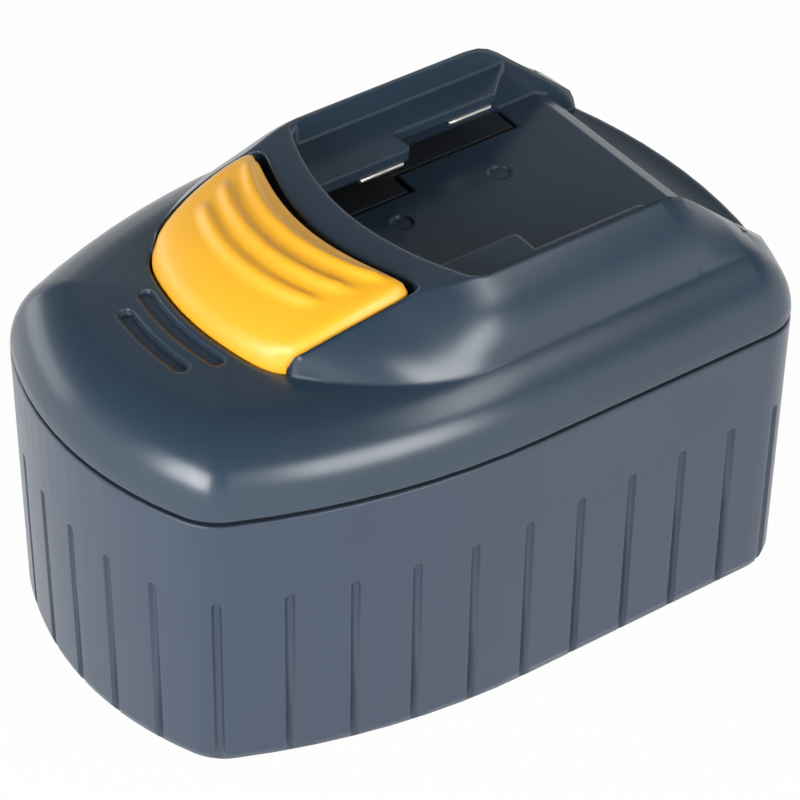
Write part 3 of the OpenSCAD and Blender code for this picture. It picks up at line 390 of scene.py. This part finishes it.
def paleFloor():
    bpy.ops.object.select_all(action="DESELECT")
    bpy.ops.mesh.primitive_plane_add(size=stage["size"])
    floor = bpy.context.object
    floor.name = "floor"
    f = Finish("paleFloor")
    f.set(Base_Color=stage["floorShade"], Roughness=stage["rough"])
    seen = f.node("LightPath", output="Is Camera Ray")
    mirrored = f.node("LightPath", output="Is Glossy Ray")
    share = ((seen + mirrored) * (stage["show"] - stage["glow"]) + stage["glow"]).clamp()
    joined = f.node("MixShader", _0=share, _1=f.surface, _2=f.node("Emission"))
    feed(f.tree, f.out.inputs["Surface"], joined)
    floor.data.materials.append(f.mat)


# surround: white low down and a dark ceiling, by the height of the direction; the camera sees plain white
sky = {"stops": ((0.0, (1.0, 1.0, 1.0)), (0.17, (0.92, 0.94, 0.96)), (0.34, (0.44, 0.47, 0.51)),
                 (0.5, (0.14, 0.16, 0.18)), (0.64, (0.06, 0.075, 0.085)), (1.0, (0.03, 0.04, 0.05)))}


def studioSky():
    world = bpy.data.worlds.new("studio")
    bpy.context.scene.world = world
    world.use_nodes = True
    s = Shades(world.node_tree)
    height = s.node("SeparateXYZ", output="Z", Vector=s.node("TexCoord", output="Generated"))
    fill = s.node("Background", Color=s.node("ValToRGB", {"stops": sky["stops"]}, Fac=height))
    white = s.node("Background", Color=(1.0, 1.0, 1.0))
    seen = s.node("LightPath", output="Is Camera Ray")
    s.make("OutputWorld", Surface=s.node("MixShader", _0=seen, _1=fill, _2=white))


# camera at the photograph's angle; the lamps face the point that it is aimed at
shot = {"azimuth": 54.24, "elevation": 38.22, "roll": 0.56, "aim": (0.0, 0.0, 0.04), "distance": 0.62331,
        "lens": 175.915, "sensor": 36.0, "shift": (0.01519, -0.05288), "clip": (0.01, 50.0)}

# soft boxes: direction and distance from the pack, the way of the long side, size and power
softBoxes = {
    "rightBox": {"way": (0.92, 0.06, 0.39), "far": 0.9, "along": (-0.1, 1.0, 0.0), "size": (0.42, 0.3), "power": 3.2},
    "highStrip": {"way": (0.52, 0.35, 0.78), "far": 0.9, "along": (-0.4, 0.1, 0.25), "size": (0.44, 0.16), "power": 1.2},
    "frontBox": {"way": (0.24, -0.9, 0.37), "far": 0.9, "along": (0.96, 0.26, 0.0), "size": (0.7, 0.34), "power": 7.8},
    "leftFill": {"way": (-0.88, -0.45, 0.12), "far": 1.2, "along": (0.45, -0.88, 0.0), "size": (0.8, 0.4), "power": 1.6},
    "backFill": {"way": (-0.64, 0.46, 0.62), "far": 1.2, "along": (0.46, 0.64, 0.0), "size": (1.0, 0.7), "power": 0.35},
}


# puts a lamp or camera so far back from the aim, with its own axes along, up and back
def aimed(name, data, axes, far):
    holder = bpy.data.objects.new(name, data)
    bpy.context.scene.collection.objects.link(holder)
    turn = Matrix(axes).transposed().to_4x4()
    holder.matrix_world = Matrix.Translation(Vector(shot["aim"]) + axes[2] * far) @ turn
    return holder


def lightBox(name, spec):
    lamp = bpy.data.lights.new(name, "AREA")
    lamp.shape = "RECTANGLE"
    lamp.size, lamp.size_y = spec["size"]
    lamp.energy = spec["power"]
    back = Vector(spec["way"]).normalized()
    along = Vector(spec["along"])
    along = (along - back * along.dot(back)).normalized()
    aimed(name, lamp, (along, back.cross(along), back), spec["far"])


def photoCamera():
    az, el, roll = (math.radians(shot[k]) for k in ("azimuth", "elevation", "roll"))
    back = Vector((math.sin(az) * math.cos(el), -math.cos(az) * math.cos(el), math.sin(el)))
    right = Vector((math.cos(az), math.sin(az), 0.0))
    up = back.cross(right)
    right, up = right * math.cos(roll) + up * math.sin(roll), up * math.cos(roll) - right * math.sin(roll)
    data = bpy.data.cameras.new("photoCamera")
    data.lens, data.sensor_width = shot["lens"], shot["sensor"]
    data.shift_x, data.shift_y = shot["shift"]
    data.clip_start, data.clip_end = shot["clip"]
    bpy.context.scene.camera = aimed("photoCamera", data, (right, up, back), shot["distance"])


paleFloor()
studioSky()
for name, spec in softBoxes.items():
    lightBox(name, spec)
print("stage: floor, sky and", len(softBoxes), "soft boxes")
photoCamera()
bpy.context.scene.view_settings.view_transform = "Standard"
print("camera set")
